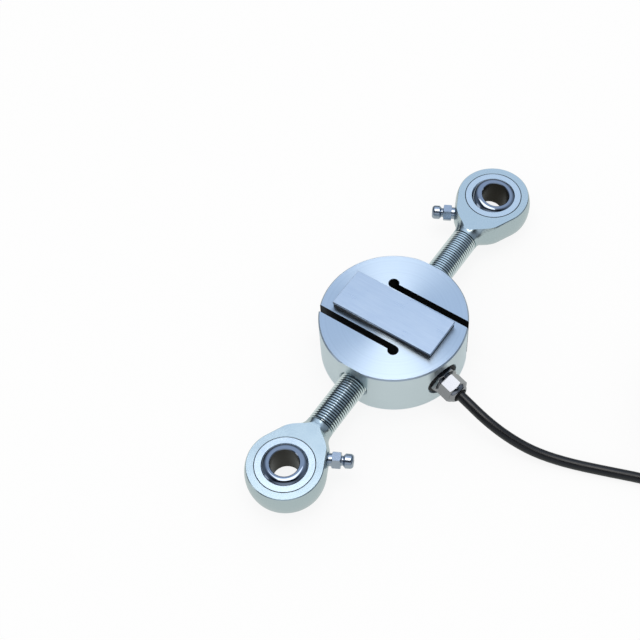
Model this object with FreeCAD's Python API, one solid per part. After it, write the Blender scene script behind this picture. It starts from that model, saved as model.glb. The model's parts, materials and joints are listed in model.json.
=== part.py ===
import FreeCAD, Part
import math
import os

# A round S type load cell with a male spherical rod end screwed into each side.
# Millimetres. The cell lies on its back face: the origin is the centre of that face,
# +Z points up to the cover plate, and +X runs along the load axis to the far rod end.
# The cable gland leaves the -Y side.

# ---- spring element (the round body) ----
BODY_RADIUS = 33.35
BODY_THICKNESS = 25.4
BODY_CHAMFER = 0.6
AXIS_HEIGHT = BODY_THICKNESS / 2
SLOT_WIDTH = 3.1
SLOT_CENTRE = 14.0
KEYHOLE_RADIUS = 2.5
KEYHOLE_ALONG = 15.0
KEYHOLE_ACROSS = 9.5
FLAT_DISTANCE = 32.5
TAPPED_RADIUS = 6.35
TAPPED_DEPTH = 12.0
COUNTERSINK_RADIUS = 7.3
DRILL_POINT = 3.6

# ---- gauge pocket, cover plate and what lies under it ----
POCKET_SIZE = (13.0, 40.0)
POCKET_DEPTH = 11.0
POCKET_CORNER = 3.0
PLATE_SIZE = (20.3, 51.0)
PLATE_THICKNESS = 1.0
SEAL_THICKNESS = 2.5
SEAL_INSET = 0.25
SEAL_PLUG_DEPTH = 1.5
GAUGE_SIZE = (4.0, 6.0, 0.2)
GAUGE_PLACES = [(-3.0, -12.0), (3.0, -12.0), (-3.0, 12.0), (3.0, 12.0)]
BOARD_SIZE = (9.0, 11.0, 1.2)
PAD_RADIUS = 0.7
BRIDGE_WIRE_RADIUS = 0.35

# ---- cable gland, along the radius at GLAND_ANGLE; places are distances from the body's axis ----
GLAND_ANGLE = -105.7
SPOTFACE_RADIUS = 8.3
SPOTFACE_AT = 31.6
GASKET_THICKNESS = 0.8
GASKET_RADIUS = 7.9
SPIGOT_RADIUS = 4.0
SPIGOT_LENGTH = 7.6
FLANGE_FLATS = 12.1
FLANGE_THICKNESS = 2.2
NECK_RADIUS = 4.2
NUT_FLATS = 10.6
NUT_START = 35.6
NUT_HEX_END = 41.8
NUT_END = 43.9
NUT_TURN = 12.0
NECK_END = 39.5
WIRE_HOLE_RADIUS = 2.0

# ---- rod ends ----
NEAR_REACH = 83.8
FAR_REACH = 86.5
CENTRE_TO_END = 61.9
SHANK_RADIUS = 6.3
SHANK_TIP_CHAMFER = 1.0
HEAD_HALF_THICKNESS = 6.35
HEAD_RADIUS = 17.6
HEAD_FACE_RADIUS = 16.7
HEAD_EDGE = 0.35
FLANK_ANGLE = 64.0
CONE_REACH = 28.5
NECK_FILLET = 7.0
NECK_CORNER = 16.0
NECK_UPPER_SLOPE = 23.0
NECK_SETBACK = 3.5
RACE_RADIUS = 13.1
STAKE_CHAMFER = 0.22
BALL_RADIUS = 11.9
BALL_CLEARANCE = 0.06
BALL_HALF_WIDTH = 7.94
BALL_END_DROP = 0.6
BORE_RADIUS = 6.35
BORE_CHAMFER = 0.3
FAR_BALL_LEAN = 9.0

# ---- grease fitting, along an axis square to the head's flank ----
FITTING_ANGLE = -62.0
FITTING_ALONG_FLANK = 7.8
FITTING_THREAD_RADIUS = 2.8
FITTING_THREAD_LENGTH = 3.6
FITTING_COLLAR = 1.4
FITTING_HEX = 7.0
FITTING_HEX_END = 5.2
FITTING_NECK_RADIUS = 2.1
FITTING_BULB_RADIUS = 3.2
FITTING_END = 10.6
PASSAGE_RADIUS = 0.8
CHAMBER_RADIUS = 1.3
CHECK_BALL_RADIUS = 1.1
CHECK_BALL_AT = 9.35
SPRING_WIRE = 0.16
SPRING_RADIUS = 0.9
SPRING_TURNS = 5
SPRING_STEPS = 8

# ---- cable ----
CABLE_RADIUS = 2.3
CABLE_ROUTE = [
    (-10.3, -36.6, 12.7), (-13.0, -46.2, 12.7), (-15.5, -57.0, 11.0), (-15.9, -68.5, 7.6),
    (-14.3, -80.8, 4.0), (-10.6, -94.2, 2.3), (-5.4, -109.2, 2.3), (1.0, -126.2, 2.3),
    (6.4, -144.4, 2.3), (10.8, -162.4, 2.3), (20.3, -177.0, 2.3), (35.6, -183.0, 2.6),
]
CABLE_START = math.hypot(CABLE_ROUTE[0][0], CABLE_ROUTE[0][1])
COIL_CENTRE = (47.9, -149.3)
COIL_RADIUS = 27.6
COIL_ROWS = 4
TAIL_ROUTE = [
    (32.0, -181.5, 7.5), (45.0, -188.2, 6.6), (58.0, -188.4, 3.9), (69.6, -183.0, 2.8), (78.5, -176.9, 2.8),
]
SLEEVE_LENGTH = 12.0
SLEEVE_RADIUS = 2.8
CONDUCTOR_RADIUS = 0.6
CORE_RADIUS = 0.35
DRAIN_RADIUS = 0.45
CONDUCTOR_PLACES = {
    "conductor_red": (0.85, 0.7, 2.6, 4.2, 6.6), "conductor_black": (0.85, -0.7, 1.25, 1.9, 2.9),
    "conductor_green": (-0.85, 0.7, -2.5, -3.9, -5.6), "conductor_white": (-0.85, -0.7, -1.25, -2.0, -2.5),
}
CONDUCTOR_OVERLAP = 1.5
TIE_ANGLE = 60.0
TIE_WIDTH = 4.0
TIE_THICKNESS = 0.9

X_AXIS = FreeCAD.Vector(1, 0, 0)
Z_AXIS = FreeCAD.Vector(0, 0, 1)
ORIGIN = FreeCAD.Vector(0, 0, 0)
BIG = 200.0


def vec(x, y, z=0.0):
    return FreeCAD.Vector(x, y, z)


def save(shape, node):
    """Write one node, after checking that every solid in it is sound."""
    if not shape.isValid() or shape.Volume <= 0:
        raise RuntimeError(node + " is not a valid solid")
    shape.exportStep("parts/" + node + ".step")
    print(node, "solids", len(shape.Solids), "volume", round(shape.Volume, 1))


def single(shape):
    """The one solid of a boolean result, cleaned of split faces."""
    solids = shape.removeSplitter().Solids
    if len(solids) != 1:
        raise RuntimeError("expected one solid, got " + str(len(solids)))
    return solids[0]


def outline_face(steps, place):
    """A face inside a closed outline. A step is a point to draw a line to, or a pair
    (point on the arc, end of the arc). place turns each flat point into a vector."""
    edges = []
    here = place(*steps[0])
    for step in steps[1:] + [steps[0]]:
        if isinstance(step[0], tuple):
            there = place(*step[1])
            edges.append(Part.Arc(here, place(*step[0]), there).toShape())
        else:
            there = place(*step)
            if there.distanceToPoint(here) > 1e-6:
                edges.append(Part.LineSegment(here, there).toShape())
        here = there
    return Part.Face(Part.Wire(edges))


def turned_x(steps):
    """A body of revolution about X from an outline of (x, radius) points."""
    return outline_face(steps, lambda x, r: vec(x, r, 0)).revolve(ORIGIN, X_AXIS, 360)


def turned_z(steps):
    """A body of revolution about Z from an outline of (radius, z) points."""
    return outline_face(steps, lambda r, z: vec(r, 0, z)).revolve(ORIGIN, Z_AXIS, 360)


def hexagon_x(flats, start, end):
    """A hexagonal bar along X with its corners turned down by a small chamfer at each end."""
    corner = flats / math.sqrt(3)
    points = [vec(start, corner * math.cos(math.radians(60 * i)), corner * math.sin(math.radians(60 * i)))
              for i in range(7)]
    bar = Part.Face(Part.makePolygon(points)).extrude(vec(end - start, 0, 0))
    bevel = corner - flats / 2
    limit = turned_x([(start, 0), (start, flats / 2), (start + bevel * 0.6, corner),
                      (end - bevel * 0.6, corner), (end, flats / 2), (end, 0)])
    return bar.common(limit)


def block(size_x, size_y, low_z, high_z, corner=0.0):
    """A block centred on Z, with its upright edges rounded if a corner radius is given."""
    shape = Part.makeBox(size_x, size_y, high_z - low_z, vec(-size_x / 2, -size_y / 2, low_z))
    if corner:
        upright = [e for e in shape.Edges if abs(e.tangentAt(e.FirstParameter).z) > 0.9]
        shape = shape.makeFillet(corner, upright)
    return shape


def tube(route, radius, name):
    """A round tube along straight runs joined by tangent arcs, each as large as its runs allow."""
    points = [vec(*p) for p in route]
    edges = []
    here = points[0]
    radii = []
    for before, corner, after in zip(points, points[1:], points[2:]):
        way_in = (corner - before).normalize()
        way_out = (after - corner).normalize()
        half_turn = way_in.getAngle(way_out) / 2
        setback = 0.45 * min(corner.distanceToPoint(before), corner.distanceToPoint(after))
        radii.append(setback / math.tan(half_turn))
        start = corner - way_in * setback
        end = corner + way_out * setback
        bisector = (way_out - way_in).normalize()
        sagitta = radii[-1] * (1 / math.cos(half_turn) - 1)
        edges.append(Part.LineSegment(here, start).toShape())
        edges.append(Part.Arc(start, corner + bisector * sagitta, end).toShape())
        here = end
    edges.append(Part.LineSegment(here, points[-1]).toShape())
    path = Part.Wire(edges)
    section = Part.Wire(Part.makeCircle(radius, points[0], (points[1] - points[0]).normalize()))
    shape = path.makePipeShell([section], True, True)
    expected = math.pi * radius ** 2 * path.Length
    print(name, "length", round(path.Length, 1), "radii", [round(r, 1) for r in radii],
          "volume ratio", round(shape.Volume / expected, 4))
    return shape


def faceted_wire(points, radius, sides):
    """A fine wire of few flat faces through the points, for what is hidden inside."""
    rings = []
    for i, point in enumerate(points):
        before = points[max(i - 1, 0)]
        after = points[min(i + 1, len(points) - 1)]
        way = (after - before).normalize()
        across = way.cross(Z_AXIS if abs(way.z) < 0.9 else X_AXIS).normalize()
        up = across.cross(way)
        turns = [2 * math.pi * k / sides for k in range(sides)]
        rings.append([point + across * (radius * math.cos(a)) + up * (radius * math.sin(a)) for a in turns])
    faces = [Part.Face(Part.makePolygon(ring + ring[:1])) for ring in (rings[0], rings[-1])]
    for ring, following in zip(rings, rings[1:]):
        for k in range(sides):
            n = (k + 1) % sides
            faces.append(Part.Face(Part.makePolygon([ring[k], ring[n], following[n], ring[k]])))
            faces.append(Part.Face(Part.makePolygon([ring[k], following[n], following[k], ring[k]])))
    solid = Part.Solid(Part.makeShell(faces))
    if solid.Volume < 0:
        solid.reverse()
    return solid


# ------------------------------------------------------------------ spring element

def along_gland(shape):
    """Turn a shape built along +X onto the gland's radius at mid height."""
    placed = shape.copy()
    placed.rotate(ORIGIN, Z_AXIS, GLAND_ANGLE)
    placed.translate(vec(0, 0, AXIS_HEIGHT))
    return placed


def slot_cutter():
    """One slot with its round end: from the keyhole out through the -Y side of the rim."""
    slot = Part.makeBox(SLOT_WIDTH, BIG, BODY_THICKNESS * 2,
                        vec(SLOT_CENTRE - SLOT_WIDTH / 2, KEYHOLE_ACROSS - BIG, -BODY_THICKNESS / 2))
    hole = Part.makeCylinder(KEYHOLE_RADIUS, BODY_THICKNESS * 2,
                             vec(KEYHOLE_ALONG, KEYHOLE_ACROSS, -BODY_THICKNESS / 2))
    return slot.fuse(hole)


def tapped_hole_cutter():
    """The hole for a rod end in the +X side, with its countersink and drill point."""
    mouth = FLAT_DISTANCE
    bottom = mouth - TAPPED_DEPTH
    sink = COUNTERSINK_RADIUS - TAPPED_RADIUS
    cutter = turned_x([(bottom - DRILL_POINT, 0), (bottom, TAPPED_RADIUS), (mouth - sink, TAPPED_RADIUS),
                       (mouth, COUNTERSINK_RADIUS), (mouth + 5, COUNTERSINK_RADIUS), (mouth + 5, 0)])
    cutter.translate(vec(0, 0, AXIS_HEIGHT))
    return cutter


def gland_port_cutter():
    """Spotface and threaded port for the gland, and the wire hole from there up into the pocket."""
    port_end = SPOTFACE_AT - SPIGOT_LENGTH - 1.5
    port = turned_x([(port_end - 1.5, 0), (port_end, SPIGOT_RADIUS), (SPOTFACE_AT, SPIGOT_RADIUS),
                     (SPOTFACE_AT, SPOTFACE_RADIUS), (BODY_RADIUS + 5, SPOTFACE_RADIUS), (BODY_RADIUS + 5, 0)])
    start = vec(port_end + 0.6, 0, 0)
    end = vec(14.5, 0, 6.5)
    wire_hole = Part.makeCylinder(WIRE_HOLE_RADIUS, start.distanceToPoint(end), start, end - start)
    return along_gland(port.fuse(wire_hole))


def make_spring_element():
    c = BODY_CHAMFER
    body = turned_z([(0, 0), (BODY_RADIUS - c, 0), (BODY_RADIUS, c), (BODY_RADIUS, BODY_THICKNESS - c),
                     (BODY_RADIUS - c, BODY_THICKNESS), (0, BODY_THICKNESS)])
    body = body.common(block(2 * FLAT_DISTANCE, BIG, -1, BODY_THICKNESS + 1))
    pocket = block(POCKET_SIZE[0], POCKET_SIZE[1], BODY_THICKNESS - POCKET_DEPTH,
                   BODY_THICKNESS + 1, POCKET_CORNER)
    body = body.cut(pocket).cut(gland_port_cutter())
    for cutter in (slot_cutter(), tapped_hole_cutter()):
        opposite = cutter.copy()
        opposite.rotate(ORIGIN, Z_AXIS, 180)
        body = body.cut(cutter).cut(opposite)
    return single(body)


# ------------------------------------------------------------------ cover and gauges

def make_cover_plate():
    low = BODY_THICKNESS + SEAL_THICKNESS
    plate = block(PLATE_SIZE[0], PLATE_SIZE[1], low, low + PLATE_THICKNESS)
    top_edges = [e for e in plate.Edges if e.BoundBox.ZMin > low + PLATE_THICKNESS / 2]
    return plate.makeChamfer(0.2, top_edges)


def make_plate_seal():
    bed = block(PLATE_SIZE[0] - 2 * SEAL_INSET, PLATE_SIZE[1] - 2 * SEAL_INSET,
                BODY_THICKNESS, BODY_THICKNESS + SEAL_THICKNESS)
    plug = block(POCKET_SIZE[0], POCKET_SIZE[1], BODY_THICKNESS - SEAL_PLUG_DEPTH,
                 BODY_THICKNESS, POCKET_CORNER)
    return single(bed.fuse(plug))


def make_terminal_board():
    floor = BODY_THICKNESS - POCKET_DEPTH
    board = block(BOARD_SIZE[0], BOARD_SIZE[1], floor, floor + BOARD_SIZE[2])
    for x in (-2.7, -0.9, 0.9, 2.7):
        for y in (-4.0, 4.0):
            pad = Part.makeCylinder(PAD_RADIUS, 0.4, vec(x, y, floor + BOARD_SIZE[2]))
            board = board.fuse(pad)
    return single(board)


def make_bridge_wires():
    """Four fine wires from the board's pads, down the wire hole to the end of the jacket."""
    wires = []
    top = BODY_THICKNESS - POCKET_DEPTH + BOARD_SIZE[2] + 0.4 + BRIDGE_WIRE_RADIUS
    for i, pad_x in enumerate((-2.7, -0.9, 0.9, 2.7)):
        spread = 0.8 * (i - 1.5)
        route = [vec(pad_x, -4.0, top), vec(spread - 2.2, -9.5, top + 1.8)]
        for along, lift in ((14.8, 6.2), (22.2, 0.2), (CABLE_START, 0.0)):
            point = vec(along, spread, lift)
            point = FreeCAD.Rotation(Z_AXIS, GLAND_ANGLE).multVec(point)
            route.append(point + vec(0, 0, AXIS_HEIGHT))
        wires.append(faceted_wire(route, BRIDGE_WIRE_RADIUS, 6))
    return Part.makeCompound(wires)



# ------------------------------------------------------------------ gland

def make_gland():
    """The five pieces of the cable gland, built along +X as distances from the body's axis."""
    seat = SPOTFACE_AT + GASKET_THICKNESS
    flange_end = seat + FLANGE_THICKNESS
    bore = CABLE_RADIUS + 0.25
    seal_bore = 3.3
    seal_start = 37.2

    body = turned_x([(SPOTFACE_AT - SPIGOT_LENGTH, bore), (SPOTFACE_AT - SPIGOT_LENGTH, SPIGOT_RADIUS - 0.4),
                     (SPOTFACE_AT - SPIGOT_LENGTH + 0.4, SPIGOT_RADIUS), (seat, SPIGOT_RADIUS),
                     (seat, NECK_RADIUS), (NECK_END, NECK_RADIUS), (NECK_END, seal_bore),
                     (seal_start, seal_bore), (seal_start, bore)])
    flange = hexagon_x(FLANGE_FLATS, seat, flange_end).cut(Part.makeCylinder(NECK_RADIUS - 0.5, BIG, ORIGIN, X_AXIS))
    body = single(body.fuse(flange))

    gasket = turned_x([(SPOTFACE_AT, SPIGOT_RADIUS), (SPOTFACE_AT, GASKET_RADIUS - 0.3),
                       (SPOTFACE_AT + 0.3, GASKET_RADIUS), (seat - 0.3, GASKET_RADIUS),
                       (seat, GASKET_RADIUS - 0.3), (seat, SPIGOT_RADIUS)])

    seal = turned_x([(seal_start, CABLE_RADIUS), (seal_start, seal_bore), (42.2, seal_bore),
                     (42.6, 2.85), (NUT_END + 0.3, 2.85), (NUT_END + 0.3, CABLE_RADIUS)])

    claw_end = 42.0
    claw = turned_x([(NECK_END, seal_bore), (NECK_END, NECK_RADIUS - 0.1), (41.0, NECK_RADIUS - 0.1),
                     (claw_end, 3.5), (claw_end, seal_bore)])
    for i in range(3):
        gap = Part.makeBox(1.9, BIG, 0.7, vec(40.3, -BIG / 2, -0.35))
        gap.rotate(ORIGIN, X_AXIS, 60 * i)
        claw = claw.cut(gap)
    claw = single(claw)

    mouth = 2.95
    nut = hexagon_x(NUT_FLATS, NUT_START, NUT_HEX_END + 0.4)
    nut.rotate(ORIGIN, X_AXIS, NUT_TURN)
    dome = turned_x([(NUT_HEX_END - 1.0, 0), (NUT_HEX_END - 1.0, NUT_FLATS / 2 - 0.3),
                     ((NUT_HEX_END + 1.3, NUT_FLATS / 2 - 0.75), (NUT_END, 3.7)), (NUT_END, 0)])
    inside = turned_x([(NUT_START - 1, 0), (NUT_START - 1, NECK_RADIUS), (41.0, NECK_RADIUS),
                       (42.4, mouth + 0.4), (NUT_END + 1, mouth + 0.4), (NUT_END + 1, 0)])
    nut = single(nut.fuse(dome).cut(inside))

    return {"gland_body": body, "gland_gasket": gasket, "gland_seal": seal, "gland_claw": claw, "gland_nut": nut}


# ------------------------------------------------------------------ rod ends
# Built with the head's centre at the origin, the shank along +X and the head's faces square to Z.

def crowned_section():
    """Half of the head's section: from its centre out to the crowned rim with bevelled edges."""
    h = HEAD_HALF_THICKNESS
    return [(0, -h), (HEAD_FACE_RADIUS - HEAD_EDGE, -h), (HEAD_FACE_RADIUS, HEAD_EDGE - h),
            ((HEAD_RADIUS, 0), (HEAD_FACE_RADIUS, h - HEAD_EDGE)), (HEAD_FACE_RADIUS - HEAD_EDGE, h), (0, h)]


def make_rod_end():
    # The round of the head stops where the flanks leave it.
    face = outline_face(crowned_section(), lambda r, z: vec(r, 0, z))
    face.rotate(ORIGIN, Z_AXIS, FLANK_ANGLE)
    head = face.revolve(ORIGIN, Z_AXIS, 360 - 2 * FLANK_ANGLE)
    for side in (1, -1):
        flank = outline_face(crowned_section(), lambda r, z: vec(r, 0, z))
        flank = flank.extrude(vec(0, -side * 40, 0))
        flank.rotate(ORIGIN, Z_AXIS, side * FLANK_ANGLE)
        head = head.fuse(flank)
    # The neck is turned about the shank's axis, which trims the corners where the flanks meet.
    fillet_end = CONE_REACH - SHANK_RADIUS + NECK_FILLET * math.tan(math.radians(22.5))
    fillet_top = (fillet_end - NECK_FILLET * math.sin(math.radians(45)),
                  SHANK_RADIUS + NECK_FILLET * (1 - math.cos(math.radians(45))))
    fillet_mid = (fillet_end - NECK_FILLET * math.sin(math.radians(22.5)),
                  SHANK_RADIUS + NECK_FILLET * (1 - math.cos(math.radians(22.5))))
    # Where the cone leaves the flanks' edges it bends up to their slope, so no corner shows there.
    slope, cone = math.radians(NECK_UPPER_SLOPE), math.radians(45)
    corner = vec(NECK_CORNER, CONE_REACH - NECK_CORNER)
    way_in = vec(math.cos(slope), -math.sin(slope))
    way_out = vec(math.cos(cone), -math.sin(cone))
    half_turn = (cone - slope) / 2
    sagitta = NECK_SETBACK / math.tan(half_turn) * (1 / math.cos(half_turn) - 1)
    bend_start = corner - way_in * NECK_SETBACK
    bend_end = corner + way_out * NECK_SETBACK
    bend_mid = corner + (way_out - way_in).normalize() * sagitta
    rise_start = bend_start - way_in * (bend_start.x + 5) / math.cos(slope)
    reach = 26.0
    neck = turned_x([(-reach, 0), (-reach, reach), (rise_start.x, rise_start.y), (bend_start.x, bend_start.y),
                     ((bend_mid.x, bend_mid.y), (bend_end.x, bend_end.y)), fillet_top,
                     (fillet_mid, (fillet_end, SHANK_RADIUS)),
                     (CENTRE_TO_END - SHANK_TIP_CHAMFER, SHANK_RADIUS),
                     (CENTRE_TO_END, SHANK_RADIUS - SHANK_TIP_CHAMFER), (CENTRE_TO_END, 0)])
    shank = Part.makeCylinder(SHANK_RADIUS + 5, BIG, vec(fillet_end - 1.5, 0, 0), X_AXIS)
    blank = head.fuse(Part.makeCylinder(SHANK_RADIUS, CENTRE_TO_END - 5, vec(5, 0, 0), X_AXIS))
    blank = blank.common(neck)
    blank = blank.fuse(neck.common(shank))
    # The seat for the race, with a small chamfer at each face that the race is staked into.
    h = HEAD_HALF_THICKNESS
    c = STAKE_CHAMFER
    seat = turned_z([(0, -h - 1), (RACE_RADIUS + c + 1, -h - 1), (RACE_RADIUS, c - h), (RACE_RADIUS, h - c),
                     (RACE_RADIUS + c + 1, h + 1), (0, h + 1)])
    blank = blank.cut(seat).cut(fitting_hole())
    return single(blank)


def on_fitting_axis(shape):
    """Turn a shape built along +X, with its seat at the origin, onto the grease fitting's axis."""
    placed = shape.copy()
    placed.rotate(ORIGIN, Z_AXIS, FITTING_ANGLE)
    placed.translate(fitting_seat())
    return placed


def fitting_seat():
    out = math.radians(-FLANK_ANGLE)
    along = out + math.pi / 2
    seat = vec(math.cos(out), math.sin(out)) * (HEAD_RADIUS - 0.2)
    return seat + vec(math.cos(along), math.sin(along)) * FITTING_ALONG_FLANK


def fitting_hole():
    """Spotface, threaded hole and grease passage for the fitting."""
    cutter = Part.makeCylinder(PASSAGE_RADIUS, 12, vec(-10, 0, 0), X_AXIS)
    thread = Part.makeCylinder(FITTING_THREAD_RADIUS, FITTING_THREAD_LENGTH, vec(-FITTING_THREAD_LENGTH, 0, 0), X_AXIS)
    spotface = Part.makeCylinder(FITTING_HEX / 2 + 0.9, 5, ORIGIN, X_AXIS)
    return on_fitting_axis(cutter.fuse(thread).fuse(spotface))


def make_race():
    h = HEAD_HALF_THICKNESS
    c = STAKE_CHAMFER
    inner = BALL_RADIUS + BALL_CLEARANCE
    opening = math.sqrt(inner ** 2 - h ** 2)
    race = turned_z([(opening, -h), (RACE_RADIUS - c, -h), (RACE_RADIUS, c - h), (RACE_RADIUS, h - c),
                     (RACE_RADIUS - c, h), (opening, h), ((inner, 0), (opening, -h))])
    passage = on_fitting_axis(Part.makeCylinder(PASSAGE_RADIUS, 12, vec(-10, 0, 0), X_AXIS))
    return single(race.cut(passage))


def make_ball():
    # Each end is rounded over from the bore to the sphere.
    w = BALL_HALF_WIDTH
    shoulder = w - BALL_END_DROP
    face = math.sqrt(BALL_RADIUS ** 2 - shoulder ** 2)
    c = BORE_CHAMFER
    inner = BORE_RADIUS + c
    middle = (inner + 0.55 * (face - inner), w - 0.22 * BALL_END_DROP)
    return turned_z([(BORE_RADIUS, c - w), (inner, -w), ((middle[0], -middle[1]), (face, -shoulder)),
                     ((BALL_RADIUS, 0), (face, shoulder)), (middle, (inner, w)), (BORE_RADIUS, w - c)])


def make_grease_fitting():
    hexagon = hexagon_x(FITTING_HEX, FITTING_COLLAR, FITTING_HEX_END)
    neck, bulb = FITTING_NECK_RADIUS, FITTING_BULB_RADIUS
    stem = turned_x([(-FITTING_THREAD_LENGTH, 0), (-FITTING_THREAD_LENGTH, FITTING_THREAD_RADIUS),
                     (FITTING_COLLAR, FITTING_THREAD_RADIUS), (FITTING_HEX_END - 0.3, 2.6),
                     (FITTING_HEX_END + 0.5, neck), (FITTING_HEX_END + 0.9, neck), (FITTING_HEX_END + 1.9, bulb),
                     (FITTING_END - 1.6, bulb), ((FITTING_END - 0.6, bulb - 0.25), (FITTING_END, bulb - 1.0)),
                     (FITTING_END, 0)])
    mouth = CHECK_BALL_AT + 0.68
    inside = turned_x([(-10, 0), (-10, PASSAGE_RADIUS), (2.6, PASSAGE_RADIUS), (2.6, CHAMBER_RADIUS),
                       (CHECK_BALL_AT + 0.35, CHAMBER_RADIUS), (mouth + 0.05, 0.85), (12, 0.85), (12, 0)])
    return single(hexagon.fuse(stem).cut(inside))


def make_check_spring():
    start = 2.6 + SPRING_WIRE
    end = CHECK_BALL_AT - 0.9
    count = SPRING_TURNS * SPRING_STEPS
    points = []
    for i in range(count + 1):
        angle = 2 * math.pi * i / SPRING_STEPS
        along = start + (end - start) * i / count
        points.append(vec(along, SPRING_RADIUS * math.cos(angle), SPRING_RADIUS * math.sin(angle)))
    return faceted_wire(points, SPRING_WIRE, 4)


def make_rod_end_set():
    return {
        "rod_end": make_rod_end(),
        "race": make_race(),
        "ball": make_ball(),
        "grease_fitting": on_fitting_axis(make_grease_fitting()),
        "check_ball": on_fitting_axis(Part.makeSphere(CHECK_BALL_RADIUS, vec(CHECK_BALL_AT, 0, 0))),
        "check_spring": on_fitting_axis(make_check_spring()),
    }


# ------------------------------------------------------------------ cable

def make_tie_and_coil():
    """The coiled length as one ring, waisted where the tie grips it, and the tie itself."""
    half = COIL_ROWS * CABLE_RADIUS
    height = 2 * half
    inner = COIL_RADIUS - half
    outer = COIL_RADIUS + half
    c = 1.6
    ring = turned_z([(inner + c, 0), (outer - c, 0), (outer, c), (outer, height - c), (outer - c, height),
                     (inner + c, height), (inner, height - c), (inner, c)])
    margin = 0.5
    band = Part.makeBox(height + 2 * margin, TIE_WIDTH, height + margin, vec(inner - margin, -TIE_WIDTH / 2, 0))
    long_edges = [e for e in band.Edges if abs(e.tangentAt(e.FirstParameter).y) > 0.9]
    band = band.makeFillet(2.2, long_edges)
    t = TIE_THICKNESS
    hole = Part.makeBox(height + 2 * margin - 2 * t, BIG, height + margin - 2 * t, vec(inner - margin + t, -BIG / 2, t))
    hole_edges = [e for e in hole.Edges if abs(e.tangentAt(e.FirstParameter).y) > 0.9]
    band = band.cut(hole.makeFillet(1.3, hole_edges))
    coil = single(ring.cut(band))
    lock = Part.makeBox(6.0, TIE_WIDTH + 1.6, 3.2, vec(COIL_RADIUS - 3, -TIE_WIDTH / 2 - 0.8, height + margin - 0.4))
    lock = lock.makeFillet(0.6, [e for e in lock.Edges if abs(e.tangentAt(e.FirstParameter).z) > 0.9])
    end = Part.makeBox(9.0, TIE_WIDTH - 0.8, 1.0, vec(COIL_RADIUS, -TIE_WIDTH / 2 + 0.4, height + margin + 0.9))
    tie = single(band.fuse(lock).fuse(end))
    for shape in (coil, tie):
        shape.rotate(ORIGIN, Z_AXIS, TIE_ANGLE)
        shape.translate(vec(COIL_CENTRE[0], COIL_CENTRE[1], 0))
    return tie, coil


def make_cable_end():
    """The shrink sleeve over the end of the jacket, and the bare-ended wires fanned out on the floor."""
    end = vec(*TAIL_ROUTE[-1])
    heading = (end - vec(*TAIL_ROUTE[-2])).normalize()
    bearing = math.degrees(math.atan2(heading.y, heading.x))
    grip = 4.0
    pieces = {}
    sleeve = turned_x([(-grip, CABLE_RADIUS), (-grip, SLEEVE_RADIUS - 0.25), (-grip + 0.25, SLEEVE_RADIUS),
                       (2.0, SLEEVE_RADIUS), (4.5, 2.3), (SLEEVE_LENGTH - grip, 2.2),
                       (SLEEVE_LENGTH - grip, 0), (0, 0), (0, CABLE_RADIUS)])
    start = SLEEVE_LENGTH - grip
    drop = CONDUCTOR_RADIUS - end.z
    for node, (side, up, near_side, mid_side, far_side) in CONDUCTOR_PLACES.items():
        route = [(start - CONDUCTOR_OVERLAP, side, up), (start + 5.0, near_side, up * 0.6 + drop * 0.35),
                 (start + 10.5, mid_side, drop * 0.9), (start + 16.0, far_side, drop)]
        wire = tube(route, CONDUCTOR_RADIUS, node)
        tip = vec(*route[-1])
        way = (tip - vec(*route[-2])).normalize()
        core = Part.makeCylinder(CORE_RADIUS, 6.5, tip - way * 1.5, vec(way.x, way.y, 0))
        pieces[node] = single(wire.fuse(core))
    drain_drop = DRAIN_RADIUS - end.z
    drain = [(start - CONDUCTOR_OVERLAP, 0, 0), (start + 5.5, 0.1, drain_drop * 0.35),
             (start + 11.0, -0.2, drain_drop * 0.95), (start + 17.0, 0.3, drain_drop)]
    pieces["shield_drain"] = tube(drain, DRAIN_RADIUS, "shield_drain")
    pieces["cable_end_sleeve"] = sleeve
    for shape in pieces.values():
        shape.rotate(ORIGIN, Z_AXIS, bearing)
        shape.translate(end)
    return pieces


# ------------------------------------------------------------------ build and write

def main():
    os.makedirs("parts", exist_ok=True)
    save(make_spring_element(), "spring_element")
    save(make_cover_plate(), "cover_plate")
    save(make_plate_seal(), "plate_seal")
    save(make_terminal_board(), "terminal_board")
    save(make_bridge_wires(), "bridge_wires")
    floor = BODY_THICKNESS - POCKET_DEPTH
    for number, (x, y) in enumerate(GAUGE_PLACES, start=1):
        gauge = block(GAUGE_SIZE[0], GAUGE_SIZE[1], floor, floor + GAUGE_SIZE[2])
        gauge.translate(vec(x, y, 0))
        save(gauge, "strain_gauge_" + str(number))
    for node, shape in make_gland().items():
        save(along_gland(shape), node)

    rod_end_set = make_rod_end_set()
    for side, centre, turn in (("near", -NEAR_REACH, 0), ("far", FAR_REACH, 180)):
        for piece, shape in rod_end_set.items():
            placed = shape.copy()
            if (side, piece) == ("far", "ball"):
                placed.rotate(ORIGIN, X_AXIS, FAR_BALL_LEAN)
            else:
                placed.rotate(ORIGIN, Z_AXIS, turn)
            placed.translate(vec(centre, 0, AXIS_HEIGHT))
            save(placed, side + "_" + piece)

    save(tube(CABLE_ROUTE, CABLE_RADIUS, "cable_lead"), "cable_lead")
    save(tube(TAIL_ROUTE, CABLE_RADIUS, "cable_tail"), "cable_tail")
    tie, coil = make_tie_and_coil()
    save(tie, "cable_tie")
    save(coil, "cable_coil")
    for node, shape in make_cable_end().items():
        save(shape, node)


main()
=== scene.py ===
"""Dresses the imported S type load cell: finishes, threads, cable and a plain studio.

Every piece is in metres in the CAD frame: the origin is the centre of the cell's back
face, +Z points up to the cover plate and +X runs along the load axis to the far rod end.
"""

import functools
import json
import logging
import math
import random
from dataclasses import dataclass, field
from enum import Enum

import bmesh
import bpy
from bpy.types import Curve, ID, Material, MeshPolygon, Node, NodeSocket, NodeTree, Object
from mathutils import Matrix, Vector

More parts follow.
